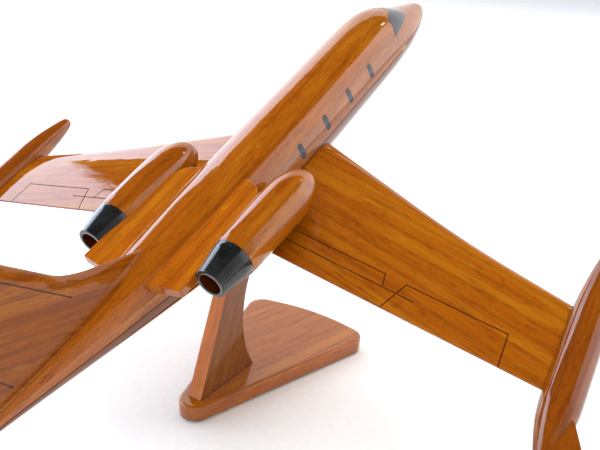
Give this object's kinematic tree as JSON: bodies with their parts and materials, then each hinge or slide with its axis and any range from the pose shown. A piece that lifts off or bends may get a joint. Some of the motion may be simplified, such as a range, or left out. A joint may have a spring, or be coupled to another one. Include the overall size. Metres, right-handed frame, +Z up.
{
  "type": "wooden business jet display model",
  "caption": "Varnished carved wooden model of a light jet with tip tanks and rear nacelles, held nose-up on a post and a rounded triangular base, lifting off steel pins.",
  "frame": {"origin": "middle of the underside of the felt under the base board, on the plane of symmetry", "axes": "+Z up, -Y toward the nose, +X toward the port wing tip"},
  "size_m": [0.3574, 0.3836, 0.1886],
  "materials": {
    "base_wood": "clear gloss varnish",
    "felt": "matt",
    "post_wood": "clear gloss varnish",
    "screw_steel": "bright",
    "pin_steel": "bright",
    "fuselage_upper_wood": "clear gloss varnish",
    "fuselage_lower_wood": "clear gloss varnish",
    "window_black": "gloss black",
    "wing_wood": "clear gloss varnish",
    "dowel_wood": "bare",
    "tank_wood": "clear gloss varnish",
    "pylon_wood": "clear gloss varnish",
    "nacelle_wood": "clear gloss varnish",
    "nozzle_black": "gloss black lacquer",
    "tail_wood": "clear gloss varnish"
  },
  "bodies": {
    "stand": {"base_board": "base_wood", "base_felt": "felt", "stand_post": "post_wood", "post_screws": "screw_steel", "locating_pins": "pin_steel"},
    "aircraft": {"fuselage_upper": "fuselage_upper_wood", "fuselage_lower": "fuselage_lower_wood", "windshield": "window_black", "window_port_1": "window_black", "window_port_2": "window_black", "window_port_3": "window_black", "window_port_4": "window_black", "window_starboard_1": "window_black", "window_starboard_2": "window_black", "window_starboard_3": "window_black", "window_starboard_4": "window_black", "wing_port": "wing_wood", "wing_starboard": "wing_wood", "wing_dowels_port": "dowel_wood", "wing_dowels_starboard": "dowel_wood", "tip_tank_port": "tank_wood", "tip_tank_starboard": "tank_wood", "tank_fin_port": "tank_wood", "tank_fin_starboard": "tank_wood", "tank_dowel_port": "dowel_wood", "tank_dowel_starboard": "dowel_wood", "pylon_port": "pylon_wood", "pylon_starboard": "pylon_wood", "pylon_dowels_port": "dowel_wood", "pylon_dowels_starboard": "dowel_wood", "nacelle_port": "nacelle_wood", "nacelle_starboard": "nacelle_wood", "nozzle_port": "nozzle_black", "nozzle_starboard": "nozzle_black", "fin": "tail_wood", "tailplane": "tail_wood", "tailplane_dowel": "dowel_wood"}
  },
  "joints": [
    {"name": "lift_off", "type": "slide", "parent": "stand", "child": "aircraft", "axis": [0, 0.4337, 0.9011], "range_m": [0, 0.03]}
  ]
}
